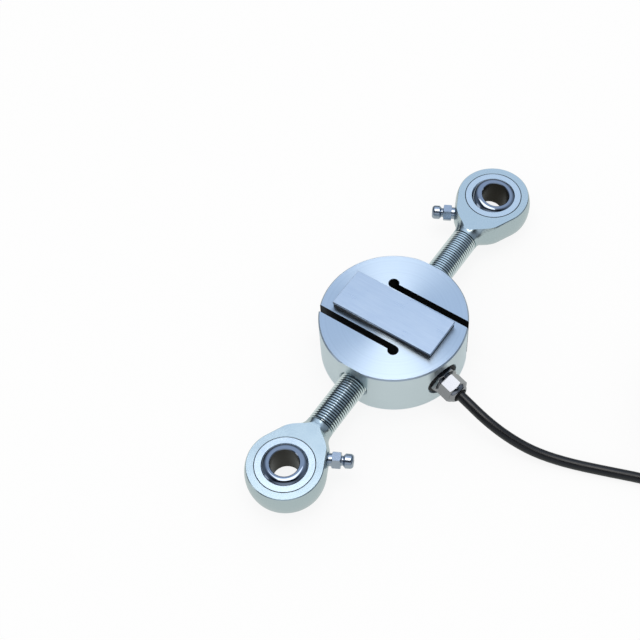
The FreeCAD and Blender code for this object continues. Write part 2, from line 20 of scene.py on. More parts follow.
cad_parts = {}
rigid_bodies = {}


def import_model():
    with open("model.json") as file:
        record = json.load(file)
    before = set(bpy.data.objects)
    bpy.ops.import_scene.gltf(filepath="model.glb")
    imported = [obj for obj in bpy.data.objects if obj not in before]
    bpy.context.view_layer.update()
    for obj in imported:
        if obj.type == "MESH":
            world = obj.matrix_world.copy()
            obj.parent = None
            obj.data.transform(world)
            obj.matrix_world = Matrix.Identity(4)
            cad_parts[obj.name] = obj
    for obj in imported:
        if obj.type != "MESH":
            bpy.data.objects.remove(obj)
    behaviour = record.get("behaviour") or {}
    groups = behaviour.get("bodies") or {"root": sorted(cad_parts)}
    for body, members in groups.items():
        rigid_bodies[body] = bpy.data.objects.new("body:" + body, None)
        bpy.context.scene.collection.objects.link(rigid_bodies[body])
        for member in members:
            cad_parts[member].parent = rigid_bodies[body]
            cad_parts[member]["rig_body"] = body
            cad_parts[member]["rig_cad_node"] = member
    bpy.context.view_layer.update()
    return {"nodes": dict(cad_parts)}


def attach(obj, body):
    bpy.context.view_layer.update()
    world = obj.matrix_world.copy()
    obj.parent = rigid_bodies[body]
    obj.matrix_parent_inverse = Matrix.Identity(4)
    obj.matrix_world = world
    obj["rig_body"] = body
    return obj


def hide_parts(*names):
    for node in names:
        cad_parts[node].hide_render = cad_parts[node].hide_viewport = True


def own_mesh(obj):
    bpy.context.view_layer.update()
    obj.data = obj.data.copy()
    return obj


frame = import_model()

Triple = tuple[float, float, float]

MM = 0.001
LOG = logging.getLogger("load_cell")
AXIS_HEIGHT = 12.7 * MM
CRISP_EDGE = 27.0           # degrees: a sharper edge stays crisp on a copied solid or a thread
CRISP_TURNED_EDGE = 20.0    # the same on a turned piece, whose faces are finer


# ---------------------------------------------------------------- small tools

def linear(hex_colour: str) -> tuple[float, float, float, float]:
    """Turns an sRGB hex colour into linear RGBA.

    Args:
        hex_colour: the colour as "#RRGGBB".

    Returns:
        The linear colour with an alpha of 1.
    """
    parts = [int(hex_colour[i:i + 2], 16) / 255 for i in (1, 3, 5)]
    return tuple(c / 12.92 if c <= 0.04045 else ((c + 0.055) / 1.055) ** 2.4 for c in parts) + (1.0,)


def add_node(tree: NodeTree, kind: str, inputs: dict | None = None,
             **settings: object) -> Node:
    """Adds one node to a tree, sets it up and connects it.

    Args:
        tree: the node tree that gets the node.
        kind: the node's type name.
        inputs: input names or numbers, each with a value, or with the node or output that feeds it.
        settings: the node's own attributes.

    Returns:
        The new node.
    """
    node = tree.nodes.new(kind)
    for key, value in settings.items():
        setattr(node, key, value)
    for key, value in (inputs or {}).items():
        if isinstance(value, Node):
            value = next(output for output in value.outputs if output.enabled)
        if isinstance(value, NodeSocket):
            tree.links.new(value, node.inputs[key])
        else:
            node.inputs[key].default_value = value
    return node


def new_object(name: str, data: ID) -> Object:
    """Links a new object into the scene.

    Args:
        name: the object's name.
        data: its mesh, curve, lamp or camera.

    Returns:
        The new object.
    """
    made = bpy.data.objects.new(name, data)
    bpy.context.scene.collection.objects.link(made)
    return made


def finished(name: str, made: bmesh.types.BMesh) -> Object:
    """Turns a mesh that was being edited into an object.

    Args:
        name: the object's name.
        made: the edited mesh, which is used up.

    Returns:
        The new object.
    """
    mesh = bpy.data.meshes.new(name)
    made.to_mesh(mesh)
    made.free()
    return new_object(name, mesh)


def flattened(piece: Object) -> Object:
    """Turns an object's modifiers into plain mesh.

    Args:
        piece: an object with modifiers still to be worked out.

    Returns:
        The same object with the result as its mesh and no modifiers.
    """
    bpy.context.view_layer.update()
    evaluated = piece.evaluated_get(bpy.context.evaluated_depsgraph_get())
    mesh = bpy.data.meshes.new_from_object(evaluated)
    piece.modifiers.clear()
    piece.data = mesh
    return piece


def shade_by_angle(made: bmesh.types.BMesh, angle: float) -> None:
    """Shades every face smooth and keeps the edges sharper than an angle crisp.

    Args:
        made: the mesh being edited.
        angle: the sharpest turn, in degrees, that still reads as one smooth surface.
    """
    for face in made.faces:
        face.smooth = True
    for edge in made.edges:
        if len(edge.link_faces) == 2:
            edge.smooth = edge.calc_face_angle(0.0) < math.radians(angle)


def smooth_copy(node: str, name: str, cut_past: float | None = None) -> Object:
    """Copies a CAD node and shades its round faces smooth.

    Args:
        node: the CAD node that the copy stands for.
        name: the new piece's name.
        cut_past: where the copy ends along X, in metres; the side nearer the cell is cut off.

    Returns:
        The new piece, which rides on the node's body and replaces the node.
    """
    source = frame["nodes"][node]
    made = bmesh.new()
    made.from_mesh(source.data)
    bmesh.ops.remove_doubles(made, verts=made.verts, dist=1e-6)
    bmesh.ops.dissolve_degenerate(made, edges=made.edges, dist=1e-6)
    if cut_past is not None:
        outward = -1.0 if cut_past < 0 else 1.0
        everything = made.verts[:] + made.edges[:] + made.faces[:]
        cut = bmesh.ops.bisect_plane(made, geom=everything, plane_co=(cut_past, 0, 0),
                                     plane_no=(-outward, 0, 0), clear_outer=True)
        rim = [e for e in cut["geom_cut"] if isinstance(e, bmesh.types.BMEdge)]
        bmesh.ops.edgeloop_fill(made, edges=rim)
    shade_by_angle(made, CRISP_EDGE)
    piece = finished(name, made)
    weighted = piece.modifiers.new("even_shading", "WEIGHTED_NORMAL")
    weighted.keep_sharp = True
    flattened(piece)
    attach(piece, source["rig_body"])
    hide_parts(node)
    return piece


@dataclass
class Turning:
    """A turned part: a closed outline of (radius, height) points spun about Z.

    Attributes:
        outline: the points in millimetres, anticlockwise with the radius to the right.
        segments: how many faces go round.
        marked: the outline's runs, by number, that take the second material.
    """

    outline: list[tuple[float, float]]
    segments: int = 144
    marked: tuple[int, ...] = ()

    def build(self, name: str, place: Matrix) -> Object:
        """Spins the outline and puts it in its place.

        Args:
            name: the new piece's name.
            place: the matrix from the turning's own axes to the CAD frame, in metres.

        Returns:
            The new piece.
        """
        made = bmesh.new()
        rings = []
        for radius, height in self.outline:
            turns = [2 * math.pi * k / self.segments for k in range(self.segments)]
            rings.append([made.verts.new(place @ Vector((radius * math.cos(a), radius * math.sin(a), height)))
                          for a in turns])
        for i, ring in enumerate(rings):
            following = rings[(i + 1) % len(rings)]
            for k in range(self.segments):
                n = (k + 1) % self.segments
                face = made.faces.new((ring[k], ring[n], following[n], following[k]))
                face.material_index = 1 if i in self.marked else 0
        bmesh.ops.recalc_face_normals(made, faces=made.faces)
        shade_by_angle(made, CRISP_TURNED_EDGE)
        return finished(name, made)


# ---------------------------------------------------------------- finishes

@dataclass(frozen=True)
class Finish:
    """A surface finish: its name, its slot in the record, which nothing here reads, and its nodes."""

    name: str
    slot: str

    @functools.cache
    def material(self) -> Material:
        """Builds the material once.

        Returns:
            The material, the same one at every call.
        """
        made = bpy.data.materials.new(self.name)
        made.use_nodes = True
        made.node_tree.nodes.clear()
        surface = self.surface(made.node_tree)
        add_node(made.node_tree, "ShaderNodeOutputMaterial", {"Surface": surface})
        return made

    def surface(self, tree: NodeTree) -> Node:
        """Adds the finish's own nodes and returns the shader."""
        raise NotImplementedError

    def millimetres(self, tree: NodeTree, scale: Triple = (1, 1, 1),
                    centre: Triple = (0, 0, 0)) -> Node:
        """Adds Object coordinates in millimetres.

        Args:
            tree: the material's tree.
            scale: pattern steps for each millimetre along X, Y and Z.
            centre: the pattern's own centre, in metres.

        Returns:
            The node that gives the coordinates.
        """
        place = add_node(tree, "ShaderNodeTexCoord").outputs["Object"]
        moved = add_node(tree, "ShaderNodeVectorMath", {0: place, 1: centre}, operation="SUBTRACT")
        steps = tuple(s / MM for s in scale)
        return add_node(tree, "ShaderNodeVectorMath", {0: moved, 1: steps}, operation="MULTIPLY")

    def dress(self, piece: Object, index: int = 0) -> None:
        """Puts the material in one of a piece's slots.

        Args:
            piece: the piece or CAD node.
            index: the material slot to fill.
        """
        while len(piece.data.materials) <= index:
            piece.data.materials.append(None)
        piece.data.materials[index] = self.material()

    def dress_node(self, node: str) -> None:
        """Puts the material on every slot of a CAD node."""
        piece = frame["nodes"][node]
        for index in range(max(1, len(piece.data.materials))):
            self.dress(piece, index)


@dataclass(frozen=True)
class TurnedSteel(Finish):
    """Lathe-faced stainless steel: rings round Z that spread the light into sectors.

    Attributes:
        face: the colour of the flat faces, bluer than the side's: painted light for the bluish sky they
            reflect.
        shade: the colour of their darker rings.
        edge: the colour of the side, lighter than the faces': painted light for the white floor it reflects.
        ring_pitch: the rings' pitch in millimetres, coarser than the real 0.15, which would not show.
    """

    face: str = "#CCDAE7"
    shade: str = "#BDCBD9"
    edge: str = "#E0ECF1"
    ring_pitch: float = 0.9

    def surface(self, tree: NodeTree) -> Node:
        """Adds the rings and the colours, with painted light: bluer faces and a lighter side, chosen by which
        way the surface faces.

        Args:
            tree: the material's tree.

        Returns:
            The shader.
        """
        add = functools.partial(add_node, tree)
        place = self.millimetres(tree)
        flat = add("ShaderNodeVectorMath", {0: place, 1: (1, 1, 0)}, operation="MULTIPLY")
        radius = add("ShaderNodeVectorMath", {0: flat}, operation="LENGTH")
        height = add("ShaderNodeSeparateXYZ", {0: place}).outputs["Z"]
        normal = add("ShaderNodeTexCoord").outputs["Normal"]
        facing = add("ShaderNodeSeparateXYZ", {0: normal}).outputs["Z"]
        level = add("ShaderNodeMath", {0: facing}, operation="ABSOLUTE")
        is_face = add("ShaderNodeMath", {0: level, 1: 0.5}, operation="GREATER_THAN")
        along = add("ShaderNodeMix", {0: is_face, 2: height, 3: radius}, data_type="FLOAT")
        step = add("ShaderNodeMath", {0: along, 1: self.ring_pitch}, operation="DIVIDE")
        rings = add("ShaderNodeTexNoise", {"W": step, "Scale": 1.0, "Detail": 4.0, "Roughness": 0.7},
                    noise_dimensions="1D")
        broad = add("ShaderNodeTexNoise", {"Vector": place, "Scale": 0.06, "Detail": 2.0})
        tone = add("ShaderNodeMix", {0: rings, 6: linear(self.shade), 7: linear(self.face)}, data_type="RGBA")
        # Painted light: the side, found by its normal, takes the lighter edge colour, and the faces take the
        # bluer ring colours.
        side = add("ShaderNodeMix", {0: is_face, 6: linear(self.edge), 7: tone}, data_type="RGBA")
        rough = add("ShaderNodeMapRange", {"Value": broad, "To Min": 0.27, "To Max": 0.36})
        bump = add("ShaderNodeBump", {"Strength": 0.25, "Distance": 0.02 * MM, "Height": rings})
        around = add("ShaderNodeTangent", direction_type="RADIAL", axis="Z")
        return add("ShaderNodeBsdfPrincipled", {
            "Base Color": side, "Metallic": 1.0, "Roughness": rough, "Anisotropic": 0.85,
            "Anisotropic Rotation": 0.25, "Normal": bump, "Tangent": around})


@dataclass(frozen=True)
class GrainedMetal(Finish):
    """Metal with a fine directional or even grain in its colour, gloss and surface.

    Attributes:
        light: the grain's lighter colour.
        dark: the grain's darker colour.
        grain: the grain's size in millimetres along X, Y and Z.
        smoothest: the lowest roughness.
        roughest: the highest roughness.
        relief: the grain's height in millimetres.
        relief_strength: how much of the relief shows.
    """

    light: str = "#C9D6E2"
    dark: str = "#AEBBC7"
    grain: Triple = (0.4, 0.4, 0.4)
    smoothest: float = 0.2
    roughest: float = 0.3
    relief: float = 0.01
    relief_strength: float = 0.2

    def surface(self, tree: NodeTree) -> Node:
        """Adds one fine noise for the grain and one broad noise for the handling marks.

        Args:
            tree: the material's tree.

        Returns:
            The shader.
        """
        add = functools.partial(add_node, tree)
        place = self.millimetres(tree, tuple(1 / size for size in self.grain))
        even = self.millimetres(tree)
        fine = add("ShaderNodeTexNoise", {"Vector": place, "Scale": 1.0, "Detail": 3.0, "Roughness": 0.6})
        broad = add("ShaderNodeTexNoise", {"Vector": even, "Scale": 0.15, "Detail": 3.0})
        tone = add("ShaderNodeMix", {0: fine, 6: linear(self.dark), 7: linear(self.light)}, data_type="RGBA")
        mixed = add("ShaderNodeMix", {0: 0.5, 2: fine, 3: broad}, data_type="FLOAT")
        rough = add("ShaderNodeMapRange", {"Value": mixed, "From Min": 0.3, "From Max": 0.7,
                                           "To Min": self.smoothest, "To Max": self.roughest})
        bump = add("ShaderNodeBump", {"Strength": self.relief_strength, "Distance": self.relief * MM,
                                      "Height": fine})
        return add("ShaderNodeBsdfPrincipled", {"Base Color": tone, "Metallic": 1.0, "Roughness": rough,
                                                "Normal": bump})


@dataclass(frozen=True)
class RolledThread(Finish):
    """A plated thread about X, with painted light: a highlight painted on the crests and shade painted in the
    roots.

    Attributes:
        crest: the crests' colour, a painted highlight.
        root: the roots' colour, a painted shade.
        radii: the radius in millimetres up to which it is root and from which it is crest.
    """

    crest: str = "#ECF5F6"
    root: str = "#4A545B"
    radii: tuple[float, float] = (5.55, 5.98)

    def surface(self, tree: NodeTree) -> Node:
        """Adds the painted highlight and shade by distance from the thread's axis, and the rolling marks.

        Args:
            tree: the material's tree.

        Returns:
            The shader.
        """
        add = functools.partial(add_node, tree)
        place = self.millimetres(tree, centre=(0.0, 0.0, AXIS_HEIGHT))
        flat = add("ShaderNodeVectorMath", {0: place, 1: (0, 1, 1)}, operation="MULTIPLY")
        radius = add("ShaderNodeVectorMath", {0: flat}, operation="LENGTH")
        root_end, crest_start = self.radii
        height = add("ShaderNodeMapRange", {"Value": radius, "From Min": root_end, "From Max": crest_start})
        marks = add("ShaderNodeTexNoise", {"Vector": place, "Scale": 2.0, "Detail": 3.0})
        # Painted light: the roots are painted dark as shade and the crests bright as a highlight.
        dark, bright = linear(self.root), linear(self.crest)
        tone = add("ShaderNodeMix", {0: height, 6: dark, 7: bright}, data_type="RGBA")
        rough = add("ShaderNodeMapRange", {"Value": height, "To Min": 0.34, "To Max": 0.13})
        bump = add("ShaderNodeBump", {"Strength": 0.2, "Distance": 0.01 * MM, "Height": marks})
        return add("ShaderNodeBsdfPrincipled", {"Base Color": tone, "Metallic": 1.0, "Roughness": rough,
                                                "Normal": bump})


@dataclass(frozen=True)
class Moulded(Finish):
    """Rubber or plastic with a fine matt texture.

    Attributes:
        colour: the colour.
        worn: the colour of its paler spots.
        gloss: the roughness.
        ior: the index of refraction.
        grain: the texture's size in millimetres.
        relief: the texture's height in millimetres.
    """

    colour: str = "#141415"
    worn: str = "#1E1E20"
    gloss: float = 0.5
    ior: float = 1.5
    grain: float = 0.4
    relief: float = 0.02

    def surface(self, tree: NodeTree) -> Node:
        """Adds the colour's slow change and the moulded texture.

        Args:
            tree: the material's tree.

        Returns:
            The shader.
        """
        add = functools.partial(add_node, tree)
        place = self.millimetres(tree)
        fine = add("ShaderNodeTexNoise", {"Vector": place, "Scale": 1 / self.grain, "Detail": 3.0})
        broad = add("ShaderNodeTexNoise", {"Vector": place, "Scale": 0.2, "Detail": 3.0})
        fresh, worn = linear(self.colour), linear(self.worn)
        tone = add("ShaderNodeMix", {0: broad, 6: fresh, 7: worn}, data_type="RGBA")
        least, most = self.gloss * 0.85, min(1.0, self.gloss * 1.15)
        rough = add("ShaderNodeMapRange", {"Value": broad, "From Min": 0.3, "From Max": 0.7,
                                           "To Min": least, "To Max": most})
        bump = add("ShaderNodeBump", {"Strength": 0.3, "Distance": self.relief * MM, "Height": fine})
        return add("ShaderNodeBsdfPrincipled", {"Base Color": tone, "Roughness": rough, "IOR": self.ior,
                                                "Normal": bump})


# Stainless steel faced on a lathe: satin, with rings that catch the light in two opposite sectors. Its
# colours carry painted light: bluer faces, a lighter side.
BODY_STEEL = TurnedSteel("faced_stainless_steel", "machined_steel")
# The slots' walls, cut by wire: dull, and painted near black as the shade deep inside the narrow slots.
SLOT_WALL = GrainedMetal("shade_painted_slot_wall", "machined_steel", light="#2E3236", dark="#1E2124",
                         grain=(0.3, 0.3, 0.3), smoothest=0.5, roughest=0.62, relief=0.03)
# Cold-rolled stainless sheet brushed along its length: fine straight lines and a soft blue-white shine.
PLATE_STEEL = GrainedMetal("brushed_stainless_sheet", "cover_steel", light="#C8D4E1", dark="#B4C2D3",
                           grain=(0.35, 9.0, 0.35), smoothest=0.26, roughest=0.36)
# Silicone sealant, cured in air: black, slightly glossy.
SEALANT = Moulded("black_silicone_sealant", "black_sealant", colour="#08080A", worn="#101012", gloss=0.42)
# Low-carbon steel forging, turned and bright zinc plated: pale blue, satin.
ZINC_STEEL = GrainedMetal("bright_zinc_plated_steel", "zinc_plated_steel", light="#CBD9DC", dark="#BAC8CC",
                          grain=(0.5, 0.5, 0.5), smoothest=0.18, roughest=0.26)
# The rolled threads have the same plating, with painted light: a highlight painted on the crests and shade
# painted in the roots.
THREAD_ZINC = RolledThread("zinc_thread_painted_light", "zinc_plated_steel")
# The grease fitting: cold-headed steel, barrel plated, shinier than the forging and a little darker.
FITTING_ZINC = GrainedMetal("bright_plated_fitting", "zinc_plated_steel", light="#B9C2CD", dark="#A4AEBB",
                            smoothest=0.12, roughest=0.2)
# The race, pressed and staked in, plated with the head but turned finer.
RACE_STEEL = GrainedMetal("zinc_plated_race", "race_steel", light="#D8E4EB", dark="#C4D1D9",
                          grain=(0.3, 0.3, 0.3), smoothest=0.2, roughest=0.3)
# The staking groove between head and race: near black, a painted shade in the narrow groove.
GROOVE = Moulded("shade_painted_staking_groove", "race_steel", colour="#15181B", worn="#24282C", gloss=0.4)
# Hardened bearing steel, lapped: a grey mirror with the faintest marks.
BALL_STEEL = GrainedMetal("lapped_bearing_steel", "polished_ball", light="#97A1AF", dark="#8C96A5",
                          grain=(0.3, 0.3, 0.3), smoothest=0.04, roughest=0.08, relief=0.002)
# The ball's bore, bored before hardening and left dark by the heat, with a film of oil.
BORE_STEEL = GrainedMetal("oil_dark_bore", "polished_ball", light="#302B23", dark="#1D1B16",
                          grain=(0.6, 0.6, 0.6), smoothest=0.3, roughest=0.45)
# Brass, bright nickel plated: a mirror, a little warm beside the steel.
NICKEL = GrainedMetal("nickel_plated_brass", "nickel_brass", light="#A5A5A8", dark="#929295",
                      smoothest=0.07, roughest=0.12, relief=0.003)
# Nitrile rubber, moulded: dull black, without a clear highlight.
RUBBER = Moulded("nitrile_rubber", "gland_rubber", colour="#0C0C0D", worn="#151516", gloss=0.6)
# Nylon, moulded: black with a soft sheen.
GLAND_NYLON = Moulded("black_nylon", "gland_nylon", colour="#101011", worn="#19191A", gloss=0.4)
# Spring wire, drawn: grey and softly bright.
SPRING_STEEL = GrainedMetal("drawn_spring_wire", "spring_wire", light="#A3A6AB", dark="#85888D")
# Plasticised PVC extruded over the cores: black, satin, a little waxy.
JACKET = Moulded("black_pvc_jacket", "cable_jacket", colour="#0B0B0E", worn="#131317", gloss=0.34, grain=0.5)
# Nylon, moulded smoother than the gland's: black, with a small highlight along its edges.
TIE_NYLON = Moulded("black_cable_tie_nylon", "tie_nylon", colour="#121213", worn="#1B1B1C", gloss=0.38)
# Polyolefin, shrunk on: black and matt.
SHRINK = Moulded("black_shrink_sleeve", "shrink_sleeve", colour="#141414", worn="#1D1D1D")
# PVC over each core: strong, even colours with a soft shine. The second colour is that of its paler spots.
CORES = {"red": ("#B81E1C", "#C93A35"), "black": ("#131315", "#1E1E21"),
         "green": ("#1E7A3C", "#2B8F4B"), "white": ("#E6E5DF", "#D8D6CE")}
CONDUCTORS = {
    f"conductor_{core}": Moulded(f"{core}_pvc_insulation", f"insulation_{core}", colour=colour, worn=worn,
                                 gloss=0.35)
    for core, (colour, worn) in CORES.items()
}
# Copper strands, tinned: silvery and uneven.
TINNED = GrainedMetal("tinned_copper_strand", "tinned_copper", light="#C9C9C6", dark="#AEAEAA",
                      grain=(0.3, 0.3, 0.3), relief=0.03, relief_strength=0.6)
# Constantan foil under polyimide film: amber and glossy.
GAUGE_FILM = Moulded("amber_polyimide_film", "gauge_foil", colour="#B07A2A", worn="#C48B38", gloss=0.25)
# Solder mask over the board: deep green and glossy.
BOARD = Moulded("green_solder_mask", "board_green", colour="#14552C", worn="#1C6637", gloss=0.25)
# Thin insulation on the bridge's wires: a dull red.
BRIDGE_WIRE = Moulded("fine_wire_insulation", "wire_insulation", colour="#93251D", worn="#A6352B", gloss=0.4)


# ---------------------------------------------------------------- threads

@dataclass(frozen=True)
class Thread:
    """An outside screw thread that Geometry Nodes wind about X.

    Attributes:
        crest: the crest radius in metres.
        pitch: the distance from crest to crest in metres.
        length: the threaded length in metres.
        fade: how far the thread takes to reach its full depth at each end, in metres.
        around: how many faces one turn has.
    """

    crest: float
    pitch: float
    length: float
    fade: float
    around: int = 40

    STEPS_ALONG = 16
    # An outside 60 degree thread, in pitches: its depth and the widths of its crest and root.
    DEPTH = 0.6134
    CREST_FLAT = 1 / 8
    ROOT_FLAT = 1 / 4

    def tree(self) -> NodeTree:
        """Builds the node tree that winds one ribbon per turn and closes both ends.

        Returns:
            A tree with the inputs Crest, Root, Pitch, Length, Fade, Turns, Around and Material.
        """
        tree = bpy.data.node_groups.new("screw_thread", "GeometryNodeTree")
        tree.interface.new_socket("Geometry", in_out="OUTPUT", socket_type="NodeSocketGeometry")
        for name in ("Crest", "Root", "Pitch", "Length", "Fade"):
            tree.interface.new_socket(name, in_out="INPUT", socket_type="NodeSocketFloat")
        for name in ("Turns", "Around"):
            tree.interface.new_socket(name, in_out="INPUT", socket_type="NodeSocketInt")
        tree.interface.new_socket("Material", in_out="INPUT", socket_type="NodeSocketMaterial")
        add = functools.partial(add_node, tree)
        values = {socket.name: socket for socket in add("NodeGroupInput").outputs}
        on_ribbon = add("ShaderNodeSeparateXYZ", {0: add("GeometryNodeInputPosition")}).outputs
        values.update(x=on_ribbon["X"], y=on_ribbon["Y"])
        flank_end = (1 - self.ROOT_FLAT) / 2
        flank_width = flank_end - self.CREST_FLAT / 2
        for name, operation, first, second in (
                ("faces along", "MULTIPLY", "Turns", "Around"),
                ("columns", "ADD", "faces along", 1.0),
                ("half the turns", "MULTIPLY", "Turns", 0.5),
                ("turn", "ADD", "x", "half the turns"),
                ("across", "ADD", "y", 0.5),
                ("turn and part", "ADD", "turn", "across"),
                ("pitches on", "SUBTRACT", "turn and part", 1.0),
                ("advance", "MULTIPLY", "pitches on", "Pitch"),
                ("advance past start", "MAXIMUM", "advance", 0.0),
                ("along", "MINIMUM", "advance past start", "Length"),
                ("off crest", "SUBTRACT", "across", 0.5),
                ("distance off crest", "ABSOLUTE", "off crest", 0.0),
                ("rise", "SUBTRACT", flank_end, "distance off crest"),
                ("slope", "DIVIDE", "rise", flank_width),
                ("slope over root", "MAXIMUM", "slope", 0.0),
                ("flank", "MINIMUM", "slope over root", 1.0),
                ("left over", "SUBTRACT", "Length", "along"),
                ("to end", "MINIMUM", "along", "left over"),
                ("faded", "DIVIDE", "to end", "Fade"),
                ("fade", "MINIMUM", "faded", 1.0),
                ("depth", "MULTIPLY", "flank", "fade"),
                ("full depth", "SUBTRACT", "Crest", "Root"),
                ("height", "MULTIPLY", "depth", "full depth"),
                ("radius", "ADD", "Root", "height"),
                ("angle", "MULTIPLY", "turn", 2 * math.pi),
                ("cosine", "COSINE", "angle", 0.0),
                ("sine", "SINE", "angle", 0.0),
                ("level", "MULTIPLY", "radius", "cosine"),
                ("upright", "MULTIPLY", "radius", "sine")):
            terms = {0: values.get(first, first), 1: values.get(second, second)}
            values[name] = add("ShaderNodeMath", terms, operation=operation)
        ribbon = add("GeometryNodeMeshGrid", {"Size X": values["Turns"], "Size Y": 1.0,
                                              "Vertices X": values["columns"],
                                              "Vertices Y": self.STEPS_ALONG + 1})
        spot = add("ShaderNodeCombineXYZ", {0: values["along"], 1: values["level"], 2: values["upright"]})
        wound = add("GeometryNodeSetPosition", {"Geometry": ribbon, "Position": spot})
        disc = add("GeometryNodeMeshCircle", {"Vertices": values["Around"], "Radius": values["Root"]},
                   fill_type="NGON")
        quarter = math.pi / 2
        first_end = add("GeometryNodeTransform", {"Geometry": disc, "Rotation": (quarter, 0.0, quarter)})
        shift = add("ShaderNodeCombineXYZ", {0: values["Length"]})
        last_end = add("GeometryNodeTransform", {"Geometry": first_end, "Translation": shift})
        join = add("GeometryNodeJoinGeometry")
        for part in (wound, first_end, last_end):
            tree.links.new(part.outputs[0], join.inputs[0])
        merged = add("GeometryNodeMergeByDistance", {"Geometry": join, "Distance": 1e-6})
        shaded = add("GeometryNodeSetShadeSmooth", {"Geometry": merged})
        real = add("GeometryNodeRealizeInstances", {"Geometry": shaded})
        dressed = add("GeometryNodeSetMaterial", {"Geometry": real, "Material": values["Material"]})
        add("NodeGroupOutput", {"Geometry": dressed})
        return tree

    def wind(self, name: str, place: Matrix, finish: Finish) -> Object:
        """Winds the thread and puts it in its place.

        Args:
            name: the new piece's name.
            place: the matrix from the thread's own axes to the CAD frame.
            finish: the thread's finish.

        Returns:
            The new piece, a plain mesh.
        """
        piece = new_object(name, bpy.data.meshes.new(name))
        winding = piece.modifiers.new("winding", "NODES")
        winding.node_group = self.tree()
        sizes = {"Crest": self.crest, "Root": self.crest - self.DEPTH * self.pitch, "Pitch": self.pitch,
                 "Length": self.length, "Fade": self.fade, "Turns": math.ceil(self.length / self.pitch) + 1,
                 "Around": self.around, "Material": finish.material()}
        for item in winding.node_group.interface.items_tree:
            if item.in_out == "INPUT":
                winding[item.identifier] = sizes[item.name]
        flattened(piece)
        made = bmesh.new()
        made.from_mesh(piece.data)
        made.transform(place)
        bmesh.ops.dissolve_degenerate(made, edges=made.edges, dist=1e-7)
        bmesh.ops.recalc_face_normals(made, faces=made.faces)
        shade_by_angle(made, CRISP_EDGE)
        made.to_mesh(piece.data)
        made.free()
        return piece


# ---------------------------------------------------------------- the cell

@dataclass
class Cell:
    """The round spring element with its cover plate and what lies under it."""

    gauges: int = 4
    slot_inner: float = 12.4 * MM       # nearest and farthest that a slot's walls lie from the middle
    slot_outer: float = 17.6 * MM
    slot_end: float = 12.1 * MM         # how far a slot's round end reaches past the middle

    def in_slot(self, face: MeshPolygon) -> bool:
        """Tells whether a face of the body is a wall of one of the two slots.

        Args:
            face: one of the body's faces.

        Returns:
            True for a slot's wall or round end.
        """
        along, across = abs(face.center.x), face.center.y * math.copysign(1.0, face.center.x)
        upright = abs(face.normal.z) < 0.5
        return upright and self.slot_inner < along < self.slot_outer and across < self.slot_end

    def build(self) -> None:
        """Makes the smooth body and dresses every part of the cell."""
        body = smooth_copy("spring_element", "round_body")
        BODY_STEEL.dress(body)
        # The slots' walls take the near-black finish: painted shade for the inside of the slots.
        SLOT_WALL.dress(body, 1)
        for face in body.data.polygons:
            face.material_index = 1 if self.in_slot(face) else 0
        PLATE_STEEL.dress_node("cover_plate")
        SEALANT.dress_node("plate_seal")
        BOARD.dress_node("terminal_board")
        BRIDGE_WIRE.dress_node("bridge_wires")
        for number in range(1, self.gauges + 1):
            GAUGE_FILM.dress_node(f"strain_gauge_{number}")
        LOG.info("cell: body, cover plate, seal and gauges dressed")


@dataclass
class Gland:
    """The cable gland: nickel-plated body and nut, rubber gasket and seal, nylon claw."""

    def build(self) -> None:
        """Shades the turned parts smooth and dresses them."""
        for node, name, finish in (("gland_body", "gland_entry_body", NICKEL),
                                   ("gland_nut", "gland_dome_nut", NICKEL),
                                   ("gland_gasket", "gland_flat_gasket", RUBBER),
                                   ("gland_seal", "gland_cable_seal", RUBBER)):
            finish.dress(smooth_copy(node, name))
        GLAND_NYLON.dress_node("gland_claw")
        LOG.info("gland: five parts dressed")


class Side(Enum):
    """The two rod ends: the name in the CAD, the head centre's X in metres and the turn about Z."""

    NEAR = ("near", -83.8 * MM, 0.0)
    FAR = ("far", 86.5 * MM, math.pi)


